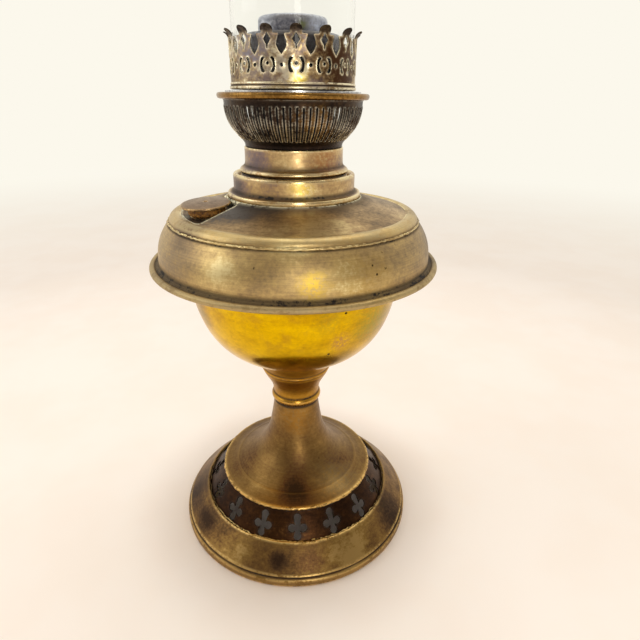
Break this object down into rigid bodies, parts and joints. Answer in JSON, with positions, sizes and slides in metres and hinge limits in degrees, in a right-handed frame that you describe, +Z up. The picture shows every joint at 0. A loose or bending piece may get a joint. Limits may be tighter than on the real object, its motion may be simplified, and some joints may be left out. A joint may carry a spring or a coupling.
{
  "type": "oil table lamp",
  "caption": "Brass centre-draught oil table lamp: pierced air-inlet foot, drop-bowl font with filler cap, slotted round-wick burner, crown gallery and glass chimney.",
  "frame": {"origin": "centre of the foot's resting edge, on the surface the lamp stands on", "axes": "+Z up along the lamp's axis, +Y towards the winder knob, the filler cap on the -X side towards -Y"},
  "size_m": [0.1726, 0.1726, 0.548],
  "materials": {
    "foot_brass": "aged, brown patina with worn bright edges",
    "stem_brass": "aged golden brown, handled",
    "bowl_brass": "polished yellow gold with fine pits",
    "font_brass": "satin tan patina, mottled grey-brown",
    "collar_brass": "satin with grey tarnish in the grooves",
    "basket_brass": "dark patina with worn ribs",
    "gallery_brass": "heat-darkened patina, mottled",
    "cap_brass": "dull brown patina",
    "nickel": "worn nickel plate",
    "grey_tin": "dull grey, heat-stained",
    "cork": "oil-stained cork",
    "cotton": "woven cotton wick, charred edge",
    "clear_glass": "clear, thin blown glass"
  },
  "bodies": {
    "lamp_base": {"foot_skirt": "foot_brass", "vent_ring": "foot_brass", "stem_cone": "foot_brass", "bowl_socket": "stem_brass", "stem_tube": "stem_brass", "foot_spider": "foot_brass", "tie_nut": "stem_brass", "bowl": "bowl_brass", "font_shell": "font_brass", "draught_tube": "grey_tin", "font_collar": "collar_brass", "filler_neck": "collar_brass"},
    "cap_washer": {"filler_washer": "cork"},
    "filler_cap": {"filler_cap": "cap_brass"},
    "burner": {"burner_base": "collar_brass", "basket": "basket_brass", "burner_deck": "nickel", "outer_wick_tube": "grey_tin", "spindle_gland": "collar_brass"},
    "winder": {"wick_pinion": "collar_brass", "wick_knob": "cap_brass"},
    "wick": {"wick": "cotton", "wick_carrier": "collar_brass"},
    "gallery": {"gallery": "gallery_brass"},
    "chimney": {"chimney": "clear_glass"},
    "spreader": {"flame_spreader": "nickel"}
  },
  "joints": [
    {"name": "cap_lift", "type": "slide", "parent": "lamp_base", "child": "cap_washer", "axis": [-0.05, -0.0714, 0.9962], "range_m": [0, 0.0048]},
    {"name": "cap_turn", "type": "hinge", "parent": "cap_washer", "child": "filler_cap", "pos_m": [-0.04868, -0.01772, 0.2216], "axis": [-0.05, -0.0714, 0.9962], "range_deg": [0, 1153]},
    {"name": "burner_lift", "type": "slide", "parent": "lamp_base", "child": "burner", "axis": [0, 0, 1], "range_m": [0, 0.12]},
    {"name": "knob_turn", "type": "hinge", "parent": "burner", "child": "winder", "pos_m": [0, 0.03, 0.254], "axis": [0, -1, 0], "range_deg": [0, 172.5]},
    {"name": "wick_raise", "type": "slide", "parent": "burner", "child": "wick", "axis": [0, 0, 1], "range_m": [0, 0.012]},
    {"name": "gallery_lift", "type": "slide", "parent": "burner", "child": "gallery", "axis": [0, 0, 1], "range_m": [0, 0.03]},
    {"name": "chimney_lift", "type": "slide", "parent": "gallery", "child": "chimney", "axis": [0, 0, 1], "range_m": [0, 0.06]},
    {"name": "spreader_lift", "type": "slide", "parent": "lamp_base", "child": "spreader", "axis": [0, 0, 1], "range_m": [0, 0.03]}
  ],
  "couplings": [
    {"joint": "cap_turn", "follows": "cap_lift", "rad_per_m": 4188.8},
    {"joint": "knob_turn", "follows": "wick_raise", "rad_per_m": 250}
  ]
}
